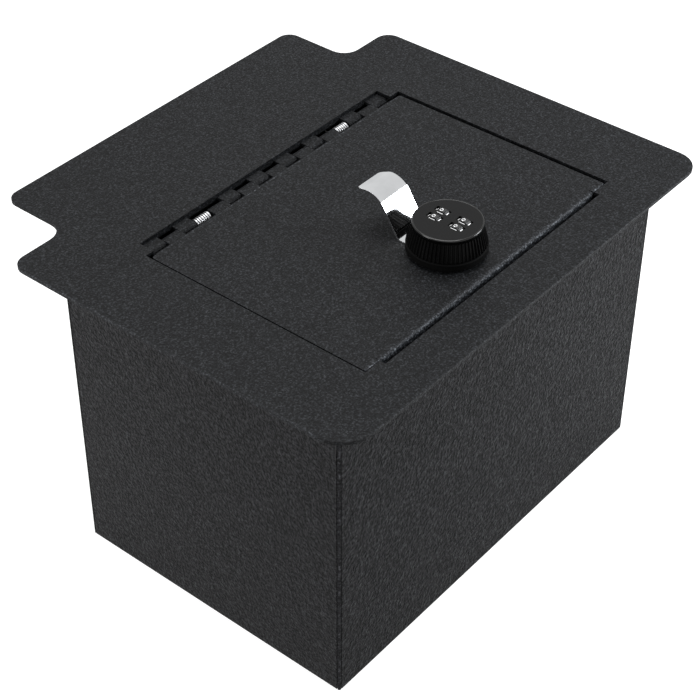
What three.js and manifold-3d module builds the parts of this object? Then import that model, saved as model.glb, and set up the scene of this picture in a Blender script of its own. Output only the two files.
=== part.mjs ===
// Console safe: a welded sheet-steel box under a flat mounting plate, with a spring-hinged
// lid, a four-wheel combination cam lock and a polished pull tab.
// Millimetres, +Z up. The origin is the centre of the bounding box on the floor:
// +X runs along the hinge, -Y is the front edge, +Y the hinge side.

import * as THREE from 'three';
import { mergeVertices } from 'three/addons/utils/BufferGeometryUtils.js';
import Module from 'manifold-3d';

const wasm = await Module();
wasm.setup();

// Mounting plate
const PLATE_WIDTH = 320;
const PLATE_DEPTH = 232;
const TONGUE_INSET = 40;
const TONGUE_DEPTH = 48;
const PLATE_THICKNESS = 2;
const FRONT_LEFT_RADIUS = 20;
const FRONT_RIGHT_RADIUS = 15;
const SHOULDER_RADIUS = 9;
const NOTCH_RADIUS = 11;
const TONGUE_RADIUS = 8;

// Box
const HEIGHT = 202;
const SIDE_OVERHANG = 18.5;
const FRONT_OVERHANG = 20;
const REAR_OVERHANG = 20;
const WALL = 2;
const WELD_BEAD = 1.6;
const WELD_RADIUS = 1.2;
const BEAD_SOFTENING = 0.3;
const BOLT_HOLE_RADIUS = 4.5;
const BOLT_INSET_X = 45;
const BOLT_INSET_Y = 38;

// Opening in the plate
const SIDE_BORDER = 33;
const FRONT_BORDER = 31;
const REAR_BORDER = 50.2;
const RECESS_INSET = 12.7;
const RECESS_DEPTH = 3.5;
const HINGE_SLOT_DEPTH = 10.3;

// Lid
const LID_THICKNESS = 2;
const LID_GAP_LEFT = 0.8;
const LID_GAP_RIGHT = 3;
const LID_GAP_FRONT = 0.4;
const LID_GAP_REAR = 3.5;
const LID_CORNER_RADIUS = 1.5;
const FLANGE_DROP = 9;
const BEND_RADIUS = 2.4;
const BEND_RELIEF = 0.4;

// Spring hinge
const PIN_RADIUS = 1.6;
const PIN_CLEARANCE = 0.3;
const LEAF_THICKNESS = 1.6;
const LEAF_WIDTH = 20;
const KNUCKLE_GAP = 0.3;
const KNUCKLE_RUNNING = 1.85;
const FIXED_KNUCKLES = 8;
const FIXED_KNUCKLE_SPACE = 11.6;
const LEFT_SPRING_SPACE = 12.4;
const RIGHT_SPRING_SPACE = 11;
const SPRING_WIRE = 1.1;
const LEFT_SPRING_COILS = 7;
const RIGHT_SPRING_COILS = 6;
const SPRING_PITCH = 1.6;
const SPRING_LEG = 13;
const HINGE_INSET = 7.18;
const HINGE_END_GAP = 0.4;
const LEAF_SHOWING = 0.35;
const KNUCKLE_ROLL = 295;

// Pull tab
const TAB_WIDTH = 22.3;
const TAB_THICKNESS = 1.2;
const TAB_EYE_RADIUS = 15;
const TAB_BEND_START = 22.2;
const TAB_FOOT_RADIUS = 4;
const TAB_CREST_RADIUS = 13;
const TAB_LIP_RADIUS = 5.5;
const TAB_SLOPE = 57;
const TAB_CREST_FALL = 14;
const TAB_LIP_SLOPE = 9;
const TAB_RISE = 23.55;
const TAB_REACH = 52.6;
const TAB_LEFT_RADIUS = 0.8;
const TAB_RIGHT_RADIUS = 6;

// Combination lock
const LOCK_FROM_FRONT = 62;
const BARREL_RADIUS = 9.5;
const BARREL_FLAT = 8;
const BARREL_DROP = 13;
const BARREL_CLEARANCE = 0.3;
const BEZEL_RADIUS = 22.45;
const BEZEL_HEIGHT = 4.4;
const WASHER_RADIUS = 13.5;
const WASHER_THICKNESS = 1;
const NUT_ACROSS_FLATS = 25;
const NUT_THICKNESS = 5;
const SPINDLE_RADIUS = 5;
const SPINDLE_SQUARE = 7;
const RUNNING_GAP = 0.3;

// Knob
const KNOB_TOP = 19.3;
const KNOB_BASE_RADIUS = 22.2;
const KNOB_TOP_RADIUS = 19.6;
const KNOB_FACE_RADIUS = 18.9;
const RIB_COUNT = 60;
const RIB_DEPTH = 0.8;
const RIM_HEIGHT = 2.2;
const RIM_TAPER = 0.15;
const KNOB_EDGE = 0.5;

// Dial wheels
const WHEEL_RADIUS = 6.6;
const WHEEL_WIDTH = 3.4;
const WHEEL_SIDES = 10;
const WHEEL_GROOVE = 0.45;
const WHEEL_GROOVE_SHARE = 0.15;
const WHEEL_PROUD = 0.4;
const WHEEL_CLEARANCE = 0.3;
const WHEEL_ROW_PITCH = 14.5;
const WHEEL_COLUMN_PITCH = 7.1;
const WHEEL_COLUMN_OFFSET = 1.4;
const WINDOW_LENGTH = 9.2;
const AXLE_RADIUS = 1;
const AXLE_CLEARANCE = 0.2;
const AXLE_OVERHANG = 3;

// Cam and strike
const CAM_THICKNESS = 2.5;
const CAM_WIDTH = 14;
const CAM_HUB_RADIUS = 9;
const CAM_REACH = 37.5;
const CAM_TIP_RADIUS = 4.9;
const CAM_SQUARE_CLEARANCE = 0.15;
const CAM_HOLE_RADIUS = 2.45;
const CAM_HOLE_PLACE = 18.9;
const CAM_SCREW_HEAD_RADIUS = 5.5;
const CAM_SCREW_HEAD = 2.4;
const CAM_SCREW_RADIUS = 2;
const CAM_SCREW_LENGTH = 8;
const CAM_SCREW_CLEARANCE = 0.2;
const STRIKE_WIDTH = 64;
const STRIKE_THICKNESS = 2;
const STRIKE_FOOT = 7.6;
const STRIKE_GAP = 0.8;

// Faces that are welded or clamped together lie this far apart
const SEAT = 0.05;

// Worked-out places
const TOTAL_DEPTH = PLATE_DEPTH + TONGUE_DEPTH;
const TONGUE_WIDTH = PLATE_WIDTH - 2 * TONGUE_INSET;
const BOX_WIDTH = PLATE_WIDTH - 2 * SIDE_OVERHANG;
const BOX_DEPTH = PLATE_DEPTH - FRONT_OVERHANG - REAR_OVERHANG;
const OPENING_WIDTH = BOX_WIDTH - 2 * SIDE_BORDER;
const OPENING_DEPTH = PLATE_DEPTH - FRONT_BORDER - REAR_BORDER;
const RECESS_WIDTH = OPENING_WIDTH - 2 * RECESS_INSET;
const fromFront = (distance) => distance - TOTAL_DEPTH / 2;
const PLATE_UNDERSIDE = HEIGHT - PLATE_THICKNESS;
const BOX_LEFT = -BOX_WIDTH / 2;
const BOX_RIGHT = BOX_WIDTH / 2;
const BOX_FRONT = fromFront(FRONT_OVERHANG);
const BOX_BACK = BOX_FRONT + BOX_DEPTH;
const OPENING_LEFT = -OPENING_WIDTH / 2;
const OPENING_RIGHT = OPENING_WIDTH / 2;
const OPENING_FRONT_Y = fromFront(FRONT_BORDER);
const OPENING_REAR_Y = OPENING_FRONT_Y + OPENING_DEPTH;
const LID_LEFT = OPENING_LEFT + LID_GAP_LEFT;
const LID_RIGHT = OPENING_RIGHT - LID_GAP_RIGHT;
const LID_FRONT = OPENING_FRONT_Y + LID_GAP_FRONT;
const LID_REAR = OPENING_REAR_Y - LID_GAP_REAR;
const LID_MIDDLE = (LID_LEFT + LID_RIGHT) / 2;
const RECESS_LEFT = LID_MIDDLE - RECESS_WIDTH / 2;
const RECESS_RIGHT = LID_MIDDLE + RECESS_WIDTH / 2;
const BORE_RADIUS = PIN_RADIUS + PIN_CLEARANCE;
const KNUCKLE_RADIUS = BORE_RADIUS + LEAF_THICKNESS;
const KNUCKLE_COUNT = 2 * FIXED_KNUCKLES - 1;
const HINGE_LENGTH = OPENING_WIDTH - 2 * HINGE_INSET;
const LID_KNUCKLE_SPACE = (HINGE_LENGTH - FIXED_KNUCKLES * FIXED_KNUCKLE_SPACE
  - LEFT_SPRING_SPACE - RIGHT_SPRING_SPACE) / (FIXED_KNUCKLES - 1);
const HINGE_LEFT = LID_MIDDLE - HINGE_LENGTH / 2;
const HINGE_RIGHT = HINGE_LEFT + HINGE_LENGTH;
const SLOT_REAR_Y = OPENING_REAR_Y + HINGE_SLOT_DEPTH;
const PIN_Y = SLOT_REAR_Y - KNUCKLE_RADIUS - KNUCKLE_RUNNING - LEAF_SHOWING;
const PIN_Z = PLATE_UNDERSIDE - SEAT - KNUCKLE_RADIUS;
const LOCK_Y = fromFront(LOCK_FROM_FRONT);
const BEZEL_BOTTOM = TAB_THICKNESS + 2 * SEAT;
const KNOB_BOTTOM = BEZEL_BOTTOM + BEZEL_HEIGHT + RUNNING_GAP;
const CAM_TOP = -BARREL_DROP - RUNNING_GAP;
const CAM_BOTTOM = CAM_TOP - CAM_THICKNESS;
const WHEEL_FLAT = WHEEL_RADIUS * Math.cos(Math.PI / WHEEL_SIDES);
const WHEEL_Z = KNOB_TOP + WHEEL_PROUD - WHEEL_FLAT;

// Finishes
const POWDER_COAT = { color: 0x2f3032, roughness: 0.75, metalness: 0.1 };
const ZINC = { color: 0xc9cbce, roughness: 0.3, metalness: 1 };
const CHROME = { color: 0xe8eaec, roughness: 0.06, metalness: 1 };
const BLACK_NYLON = { color: 0x151516, roughness: 0.35, metalness: 0 };
const STEEL = { color: 0x8f9296, roughness: 0.4, metalness: 1 };

const root = new THREE.Group();
const lid = new THREE.Group();
const lock = new THREE.Group();
root.add(lid);
lid.add(lock);
lock.position.set(LID_MIDDLE, LOCK_Y, HEIGHT);

function addPiece(parent, name, geometry, finish, place = [0, 0, 0]) {
  const mesh = new THREE.Mesh(geometry, new THREE.MeshStandardMaterial(finish));
  mesh.name = name;
  mesh.position.set(...place);
  parent.add(mesh);
  return mesh;
}

// Solids

function toSolid(geometry) {
  const bare = geometry.clone();
  bare.deleteAttribute('normal');
  bare.deleteAttribute('uv');
  const merged = mergeVertices(bare, 1e-4);
  const corners = merged.index.array;
  const kept = [];
  for (let i = 0; i < corners.length; i += 3) {
    const [a, b, c] = corners.slice(i, i + 3);
    if (a !== b && b !== c && c !== a) kept.push(a, b, c);
  }
  return new wasm.Manifold(new wasm.Mesh({
    numProp: 3,
    vertProperties: new Float32Array(merged.attributes.position.array),
    triVerts: new Uint32Array(kept),
  }));
}

function toGeometry(solid) {
  const mesh = solid.getMesh();
  const geometry = new THREE.BufferGeometry();
  const points = [];
  for (let i = 0; i < mesh.vertProperties.length; i += mesh.numProp) {
    points.push(...mesh.vertProperties.slice(i, i + 3));
  }
  geometry.setAttribute('position', new THREE.Float32BufferAttribute(points, 3));
  geometry.setIndex([...mesh.triVerts]);
  return geometry;
}

const join = (first, ...others) =>
  toGeometry(others.reduce((sum, other) => sum.add(toSolid(other)), toSolid(first)));
const cut = (first, ...others) =>
  toGeometry(others.reduce((rest, other) => rest.subtract(toSolid(other)), toSolid(first)));
const overlapOf = (first, second) => toGeometry(toSolid(first).intersect(toSolid(second)));

// Outlines

// A closed outline whose corners [x, y, radius] are rounded with arcs, as a list of points
function arcOutline(corners, steps = 6) {
  const points = [];
  const count = corners.length;
  corners.forEach(([x, y, radius = 0], i) => {
    const here = new THREE.Vector2(x, y);
    if (radius === 0) {
      points.push(here);
      return;
    }
    const [bx, by] = corners[(i + count - 1) % count];
    const [ax, ay] = corners[(i + 1) % count];
    const toBefore = new THREE.Vector2(bx - x, by - y).normalize();
    const toAfter = new THREE.Vector2(ax - x, ay - y).normalize();
    const half = Math.acos(THREE.MathUtils.clamp(toBefore.dot(toAfter), -1, 1)) / 2;
    const bisector = toBefore.clone().add(toAfter).normalize();
    const centre = here.clone().addScaledVector(bisector, radius / Math.sin(half));
    const start = here.clone().addScaledVector(toBefore, radius / Math.tan(half)).sub(centre);
    const end = here.clone().addScaledVector(toAfter, radius / Math.tan(half)).sub(centre);
    let sweep = end.angle() - start.angle();
    if (sweep > Math.PI) sweep -= 2 * Math.PI;
    if (sweep < -Math.PI) sweep += 2 * Math.PI;
    for (let step = 0; step <= steps; step++) {
      const angle = start.angle() + (sweep * step) / steps;
      points.push(new THREE.Vector2(
        centre.x + radius * Math.cos(angle), centre.y + radius * Math.sin(angle)));
    }
  });
  return points;
}

function circlePoints(radius, steps, x = 0, y = 0) {
  return Array.from({ length: steps }, (_, i) => {
    const angle = (2 * Math.PI * i) / steps;
    return new THREE.Vector2(x + radius * Math.cos(angle), y + radius * Math.sin(angle));
  });
}

// A circle with two flats at x = -half and x = +half
function flattedCirclePoints(radius, half, steps = 10) {
  const edge = Math.acos(half / radius);
  const points = [];
  for (const side of [0, Math.PI]) {
    for (let i = 0; i <= steps; i++) {
      const angle = side + edge + ((Math.PI - 2 * edge) * i) / steps;
      points.push(new THREE.Vector2(radius * Math.cos(angle), radius * Math.sin(angle)));
    }
  }
  return points;
}

// An outline in XY, with holes, raised from z = bottom to z = top
function slab(points, bottom, top, holes = []) {
  const shape = new THREE.Shape(points);
  shape.holes = holes.map((hole) => new THREE.Path(hole));
  const geometry = new THREE.ExtrudeGeometry(shape, { depth: top - bottom, bevelEnabled: false });
  geometry.translate(0, 0, bottom);
  return geometry;
}

// An outline in YZ, drawn along X from x = left to x = right
function barAlongX(points, left, right, holes = []) {
  const geometry = slab(points, left, right, holes);
  geometry.applyMatrix4(new THREE.Matrix4().makeBasis(
    new THREE.Vector3(0, 1, 0), new THREE.Vector3(0, 0, 1), new THREE.Vector3(1, 0, 0)));
  return geometry;
}

function block(left, right, front, back, bottom, top) {
  const geometry = new THREE.BoxGeometry(right - left, back - front, top - bottom);
  geometry.translate((left + right) / 2, (front + back) / 2, (bottom + top) / 2);
  return geometry;
}

function cylinderAlongX(radius, left, right, sides, y = 0, z = 0) {
  return barAlongX(circlePoints(radius, sides, y, z), left, right);
}

// Rings of equally many points, joined into one closed skin with a fan at each end
function loft(rings) {
  const count = rings[0].length;
  const points = rings.flat();
  const faces = [];
  for (let ring = 0; ring + 1 < rings.length; ring++) {
    for (let i = 0; i < count; i++) {
      const a = ring * count + i;
      const b = ring * count + ((i + 1) % count);
      faces.push(a, b, b + count, a, b + count, a + count);
    }
  }
  for (const last of [false, true]) {
    const first = last ? (rings.length - 1) * count : 0;
    const middle = new THREE.Vector3();
    rings[last ? rings.length - 1 : 0].forEach((point) => middle.add(point));
    const hub = points.push(middle.divideScalar(count)) - 1;
    for (let i = 0; i < count; i++) {
      const a = first + i;
      const b = first + ((i + 1) % count);
      faces.push(hub, last ? a : b, last ? b : a);
    }
  }
  const geometry = new THREE.BufferGeometry().setFromPoints(points);
  geometry.setIndex(faces);
  return geometry;
}

// Mounting plate and box

function plateOutline() {
  const half = PLATE_WIDTH / 2;
  const tongue = TONGUE_WIDTH / 2;
  const front = fromFront(0);
  const shoulder = fromFront(PLATE_DEPTH);
  const rear = fromFront(TOTAL_DEPTH);
  return arcOutline([
    [-half, front, FRONT_LEFT_RADIUS],
    [half, front, FRONT_RIGHT_RADIUS],
    [half, shoulder, SHOULDER_RADIUS],
    [tongue, shoulder, NOTCH_RADIUS],
    [tongue, rear, TONGUE_RADIUS],
    [-tongue, rear, TONGUE_RADIUS],
    [-tongue, shoulder, NOTCH_RADIUS],
    [-half, shoulder, SHOULDER_RADIUS],
  ]);
}

function openingOutline() {
  const recessFront = OPENING_FRONT_Y - RECESS_DEPTH;
  const slotLeft = HINGE_LEFT - HINGE_END_GAP;
  const slotRight = HINGE_RIGHT + HINGE_END_GAP;
  return arcOutline([
    [OPENING_LEFT, OPENING_FRONT_Y],
    [RECESS_LEFT, OPENING_FRONT_Y],
    [RECESS_LEFT, recessFront],
    [RECESS_RIGHT, recessFront],
    [RECESS_RIGHT, OPENING_FRONT_Y],
    [OPENING_RIGHT, OPENING_FRONT_Y],
    [OPENING_RIGHT, OPENING_REAR_Y],
    [slotRight, OPENING_REAR_Y],
    [slotRight, SLOT_REAR_Y],
    [slotLeft, SLOT_REAR_Y],
    [slotLeft, OPENING_REAR_Y],
    [OPENING_LEFT, OPENING_REAR_Y],
  ]);
}

// The border that rests on the console's rim, and the deck over the box with the lid's opening
function topPlate() {
  const box = arcOutline([
    [BOX_LEFT, BOX_FRONT],
    [BOX_RIGHT, BOX_FRONT],
    [BOX_RIGHT, BOX_BACK],
    [BOX_LEFT, BOX_BACK],
  ]);
  const border = cut(slab(plateOutline(), PLATE_UNDERSIDE, HEIGHT),
    slab(box, PLATE_UNDERSIDE - 1, HEIGHT + 1));
  return join(border, slab(box, PLATE_UNDERSIDE, HEIGHT, [openingOutline()]));
}

function sideWall(left) {
  return block(left, left + WALL, BOX_FRONT + WALL + SEAT, BOX_BACK - WALL - SEAT,
    0, PLATE_UNDERSIDE - SEAT);
}

// A rounded bead filling the open corner between two walls
function cornerWeld(x, y) {
  const inX = x - Math.sign(x) * WELD_BEAD;
  const inY = y > 0 ? y - WELD_BEAD : y + WELD_BEAD;
  const corners = [[x, y, WELD_RADIUS], [inX, y, BEAD_SOFTENING], [inX, inY],
    [x, inY, BEAD_SOFTENING]];
  return slab(arcOutline(corners, 5), 0, PLATE_UNDERSIDE - SEAT);
}

function crossWall(front, back) {
  return block(BOX_LEFT + WALL + SEAT, BOX_RIGHT - WALL - SEAT, front, back,
    0, PLATE_UNDERSIDE - SEAT);
}

function floorPanel() {
  const left = BOX_LEFT + WALL + SEAT;
  const front = BOX_FRONT + WALL + SEAT;
  const corners = [[left, front], [-left, front], [-left, BOX_BACK - WALL - SEAT],
    [left, BOX_BACK - WALL - SEAT]];
  const middle = (BOX_FRONT + BOX_BACK) / 2;
  const holes = [];
  for (const x of [BOX_LEFT + BOLT_INSET_X, BOX_RIGHT - BOLT_INSET_X]) {
    for (const side of [-1, 1]) {
      const y = middle + side * (BOX_DEPTH / 2 - BOLT_INSET_Y);
      holes.push(circlePoints(BOLT_HOLE_RADIUS, 24, x, y));
    }
  }
  return slab(arcOutline(corners), 0, WALL, holes);
}

// An angle under the front of the opening, which the turned cam hooks under
function strikeBracket() {
  const back = BOX_FRONT + WALL + SEAT;
  const bottom = HEIGHT + CAM_TOP + STRIKE_GAP;
  const top = PLATE_UNDERSIDE - SEAT;
  const profile = arcOutline([
    [back, bottom, 2.6],
    [back + STRIKE_FOOT, bottom],
    [back + STRIKE_FOOT, bottom + STRIKE_THICKNESS],
    [back + STRIKE_THICKNESS, bottom + STRIKE_THICKNESS, 0.6],
    [back + STRIKE_THICKNESS, top],
    [back, top],
  ], 5);
  const middle = LID_MIDDLE;
  return barAlongX(profile, middle - STRIKE_WIDTH / 2, middle + STRIKE_WIDTH / 2);
}

// Spring hinge

// Spaces along the pin from the left: F a fixed knuckle, L a lid knuckle, S a spring
function hingeSpaces() {
  const spaces = [];
  let x = HINGE_LEFT;
  const add = (kind, width) => {
    spaces.push({ kind, left: x, right: x + width });
    x += width;
  };
  for (let i = 0; i < KNUCKLE_COUNT; i++) {
    if (i === KNUCKLE_COUNT - 3) add('S', RIGHT_SPRING_SPACE);
    if (i % 2 === 0) add('F', FIXED_KNUCKLE_SPACE);
    else add('L', LID_KNUCKLE_SPACE);
    if (i === 2) add('S', LEFT_SPRING_SPACE);
  }
  return spaces;
}

// One rolled knuckle with a stub of its leaf: side is +1 for a leaf towards +Y, -1 towards -Y
function knucklePoints(side, stub) {
  const steps = 16;
  const start = Math.PI / 2;
  const sweep = THREE.MathUtils.degToRad(KNUCKLE_ROLL);
  const points = [new THREE.Vector2(side * stub, KNUCKLE_RADIUS)];
  const arc = (radius, t) => {
    const angle = start + sweep * t;
    return new THREE.Vector2(side * radius * Math.cos(angle), radius * Math.sin(angle));
  };
  for (let i = 0; i <= steps; i++) points.push(arc(KNUCKLE_RADIUS, i / steps));
  for (let i = steps; i >= 0; i--) points.push(arc(BORE_RADIUS, i / steps));
  points.push(new THREE.Vector2(side * stub, BORE_RADIUS));
  return points.map((p) => new THREE.Vector2(p.x + PIN_Y, p.y + PIN_Z));
}

function hingeLeaf(kind, side) {
  const near = KNUCKLE_RADIUS + KNUCKLE_RUNNING;
  const edges = [PIN_Y + side * near, PIN_Y + side * LEAF_WIDTH].sort((a, b) => a - b);
  const top = PIN_Z + KNUCKLE_RADIUS;
  const plate = block(HINGE_LEFT, HINGE_RIGHT, edges[0], edges[1], top - LEAF_THICKNESS, top);
  const profile = knucklePoints(side, near + 2);
  const knuckles = hingeSpaces()
    .filter((space) => space.kind === kind)
    .map((space) => barAlongX(profile, space.left + KNUCKLE_GAP / 2,
      space.right - KNUCKLE_GAP / 2));
  return join(plate, ...knuckles);
}

function hingePin() {
  return cylinderAlongX(PIN_RADIUS, HINGE_LEFT, HINGE_RIGHT, 16, PIN_Y, PIN_Z);
}

// The middle line of a torsion spring: a leg under the fixed leaf, the coils round the pin,
// and a leg under the lid leaf
function springPath(middle, coils) {
  const radius = KNUCKLE_RADIUS - SPRING_WIRE / 2;
  const rise = radius - BORE_RADIUS + SPRING_WIRE / 2 + RUNNING_GAP;
  const lift = Math.atan2(2 * radius - rise, SPRING_LEG);
  const turns = coils + lift / Math.PI;
  const steps = Math.round(turns * 8);
  const firstAngle = -Math.PI / 2 + lift;
  const length = turns * SPRING_PITCH;
  const at = (t) => {
    const angle = firstAngle - 2 * Math.PI * turns * t;
    return new THREE.Vector3(middle - length / 2 + length * t,
      PIN_Y + radius * Math.cos(angle), PIN_Z + radius * Math.sin(angle));
  };
  const points = [];
  const legFrom = (point, toSide) => {
    const legPoints = [];
    for (const reach of [SPRING_LEG, SPRING_WIRE]) {
      legPoints.push(new THREE.Vector3(point.x, point.y + toSide * reach * Math.cos(lift),
        point.z + reach * Math.sin(lift)));
    }
    return legPoints;
  };
  points.push(...legFrom(at(0), 1));
  for (let i = 0; i <= steps; i++) points.push(at(i / steps));
  points.push(...legFrom(at(1), -1).reverse());
  return points;
}

// A tube of equal sides along a line of points, without twist
function tubeAlong(points, radius, sides) {
  const tangents = points.map((_, i) => points[Math.min(i + 1, points.length - 1)].clone()
    .sub(points[Math.max(i - 1, 0)]).normalize());
  let normal = new THREE.Vector3(1, 0, 0);
  const rings = points.map((point, i) => {
    normal = normal.clone().addScaledVector(tangents[i], -normal.dot(tangents[i])).normalize();
    const binormal = tangents[i].clone().cross(normal);
    return Array.from({ length: sides }, (_, k) => {
      const angle = (2 * Math.PI * k) / sides;
      return point.clone().addScaledVector(normal, radius * Math.cos(angle))
        .addScaledVector(binormal, radius * Math.sin(angle));
    });
  });
  return loft(rings);
}

// The least gap between stretches of the tube that are more than half a turn apart
function leastGap(points, diameter) {
  let least = Infinity;
  for (let i = 0; i < points.length; i++) {
    for (let j = i + 5; j < points.length; j++) {
      least = Math.min(least, points[i].distanceTo(points[j]) - diameter);
    }
  }
  return least;
}

function hingeSpring(space, coils, name) {
  const points = springPath((space.left + space.right) / 2, coils);
  console.log(`${name}: least gap to itself ${leastGap(points, SPRING_WIRE).toFixed(2)} mm`);
  return tubeAlong(points, SPRING_WIRE / 2, 5);
}

// Lid

function lidPlate() {
  const bottom = HEIGHT - LID_THICKNESS;
  const relief = LID_FRONT + BEND_RADIUS + BEND_RELIEF;
  const sheet = slab(arcOutline([
    [LID_LEFT, LID_FRONT, LID_CORNER_RADIUS],
    [RECESS_LEFT, LID_FRONT],
    [RECESS_LEFT, relief],
    [RECESS_RIGHT, relief],
    [RECESS_RIGHT, LID_FRONT],
    [LID_RIGHT, LID_FRONT, LID_CORNER_RADIUS],
    [LID_RIGHT, LID_REAR, LID_CORNER_RADIUS],
    [LID_LEFT, LID_REAR, LID_CORNER_RADIUS],
  ], 4), bottom, HEIGHT);
  const flange = barAlongX(arcOutline([
    [LID_FRONT, HEIGHT, BEND_RADIUS],
    [LID_FRONT, HEIGHT - FLANGE_DROP],
    [LID_FRONT + LID_THICKNESS, HEIGHT - FLANGE_DROP],
    [LID_FRONT + LID_THICKNESS, bottom, BEND_RADIUS - LID_THICKNESS],
    [relief + 1, bottom],
    [relief + 1, HEIGHT],
  ], 6), RECESS_LEFT + BEND_RELIEF, RECESS_RIGHT - BEND_RELIEF);
  const hole = slab(
    flattedCirclePoints(BARREL_RADIUS + BARREL_CLEARANCE, BARREL_FLAT + BARREL_CLEARANCE),
    bottom - 1, HEIGHT + 1);
  hole.translate(LID_MIDDLE, LOCK_Y, 0);
  return cut(join(sheet, flange), hole);
}

// A bend of the sheet about [y, z] from one slope to another, as the surface that lies offset
// above the sheet's middle: side is +1 for a hollow bend and -1 for a crest
function bendPoints([y, z], radius, side, offset, startSlope, endSlope) {
  const steps = 8;
  const reach = radius - side * offset;
  return Array.from({ length: steps + 1 }, (_, i) => {
    const slope = startSlope + ((endSlope - startSlope) * i) / steps;
    return new THREE.Vector2(y + side * reach * Math.sin(slope), z - side * reach * Math.cos(slope));
  });
}

// The tab's side view: the face towards the lid or the face away from it, as [y, z] points
function tabSide(offset) {
  const slope = THREE.MathUtils.degToRad(TAB_SLOPE);
  const fall = THREE.MathUtils.degToRad(-TAB_CREST_FALL);
  const lip = THREE.MathUtils.degToRad(TAB_LIP_SLOPE);
  const middle = TAB_THICKNESS / 2;
  const foot = [TAB_BEND_START, middle + TAB_FOOT_RADIUS];
  const crestZ = TAB_RISE - middle - TAB_CREST_RADIUS;
  const rise = crestZ + TAB_CREST_RADIUS * Math.cos(slope) - foot[1]
    + TAB_FOOT_RADIUS * Math.cos(slope);
  const run = rise / Math.tan(slope);
  const crest = [foot[0] + run + (TAB_FOOT_RADIUS + TAB_CREST_RADIUS) * Math.sin(slope), crestZ];
  const bothRadii = TAB_CREST_RADIUS + TAB_LIP_RADIUS;
  const hollow = [crest[0] - bothRadii * Math.sin(fall), crest[1] + bothRadii * Math.cos(fall)];
  const points = [
    new THREE.Vector2(-TAB_EYE_RADIUS - 1, middle + offset),
    ...bendPoints(foot, TAB_FOOT_RADIUS, 1, offset, 0, slope),
    ...bendPoints(crest, TAB_CREST_RADIUS, -1, offset, slope, fall),
    ...bendPoints(hollow, TAB_LIP_RADIUS, 1, offset, fall, lip).slice(1),
  ];
  const last = points[points.length - 1];
  const end = Math.max(TAB_REACH, last.x) + 1;
  points.push(new THREE.Vector2(end, last.y + (end - last.x) * Math.tan(lip)));
  return points;
}

function pullTab() {
  const half = TAB_THICKNESS / 2;
  const side = [...tabSide(-half), ...tabSide(half).reverse()];
  const strip = barAlongX(side, -TAB_EYE_RADIUS - 1, TAB_EYE_RADIUS + 1);
  const width = TAB_WIDTH / 2;
  const tongue = slab(arcOutline([
    [-width, 0],
    [width, 0],
    [width, TAB_REACH, TAB_RIGHT_RADIUS],
    [-width, TAB_REACH, TAB_LEFT_RADIUS],
  ]), -1, TAB_RISE + 1);
  const eye = slab(circlePoints(TAB_EYE_RADIUS, 48), -1, TAB_RISE + 1);
  const hole = slab(
    flattedCirclePoints(BARREL_RADIUS + BARREL_CLEARANCE, BARREL_FLAT + BARREL_CLEARANCE),
    -2, TAB_RISE + 2);
  return cut(overlapOf(strip, join(tongue, eye)), hole);
}

// Lock, in its own frame: z = 0 is the lid's top face, the spindle runs along Z

function lathe(profile, sides) {
  const geometry = new THREE.LatheGeometry(
    profile.map(([r, z]) => new THREE.Vector2(r, z)), sides);
  geometry.rotateX(Math.PI / 2);
  return geometry;
}

function lockHousing() {
  const top = BEZEL_BOTTOM + BEZEL_HEIGHT;
  const edge = 0.6;
  const bezel = lathe([
    [0, BEZEL_BOTTOM],
    [BEZEL_RADIUS - edge, BEZEL_BOTTOM],
    [BEZEL_RADIUS, BEZEL_BOTTOM + edge],
    [BEZEL_RADIUS, top - edge],
    [BEZEL_RADIUS - edge, top],
    [0, top],
  ], 72);
  const barrel = slab(flattedCirclePoints(BARREL_RADIUS, BARREL_FLAT), -BARREL_DROP,
    BEZEL_BOTTOM + 1);
  const bore = slab(circlePoints(SPINDLE_RADIUS + RUNNING_GAP, 32), -BARREL_DROP - 1, top + 1);
  return cut(join(bezel, barrel), bore);
}

function lockWasher() {
  const top = -LID_THICKNESS - SEAT;
  return slab(circlePoints(WASHER_RADIUS, 40), top - WASHER_THICKNESS, top,
    [circlePoints(BARREL_RADIUS + BARREL_CLEARANCE, 32)]);
}

function lockNut() {
  const top = -LID_THICKNESS - WASHER_THICKNESS - 2 * SEAT;
  const corner = NUT_ACROSS_FLATS / 2 / Math.cos(Math.PI / 6);
  return slab(circlePoints(corner, 6), top - NUT_THICKNESS, top,
    [circlePoints(BARREL_RADIUS + BARREL_CLEARANCE, 32)]);
}

function spindle() {
  const shaft = slab(circlePoints(SPINDLE_RADIUS, 32), CAM_TOP + SEAT, KNOB_BOTTOM - SEAT);
  const half = SPINDLE_SQUARE / 2;
  const square = block(-half, half, -half, half, CAM_BOTTOM + CAM_SCREW_CLEARANCE, CAM_TOP + 1);
  const thread = slab(circlePoints(CAM_SCREW_RADIUS + CAM_SCREW_CLEARANCE, 16), CAM_BOTTOM - 1,
    CAM_BOTTOM + CAM_SCREW_LENGTH + 1);
  return cut(join(shaft, square), thread);
}

// The cam points along +X when unlocked
function lockCam() {
  const half = CAM_WIDTH / 2;
  const arm = slab(arcOutline([
    [0, -half],
    [CAM_REACH, -half, CAM_TIP_RADIUS],
    [CAM_REACH, half, CAM_TIP_RADIUS],
    [0, half],
  ]), CAM_BOTTOM, CAM_TOP);
  const hub = slab(circlePoints(CAM_HUB_RADIUS, 32), CAM_BOTTOM, CAM_TOP);
  const square = SPINDLE_SQUARE / 2 + CAM_SQUARE_CLEARANCE;
  const hole = block(-square, square, -square, square, CAM_BOTTOM - 1, CAM_TOP + 1);
  const lightening = slab(circlePoints(CAM_HOLE_RADIUS, 16, CAM_HOLE_PLACE, 0), CAM_BOTTOM - 1,
    CAM_TOP + 1);
  return cut(join(arm, hub), hole, lightening);
}

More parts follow.
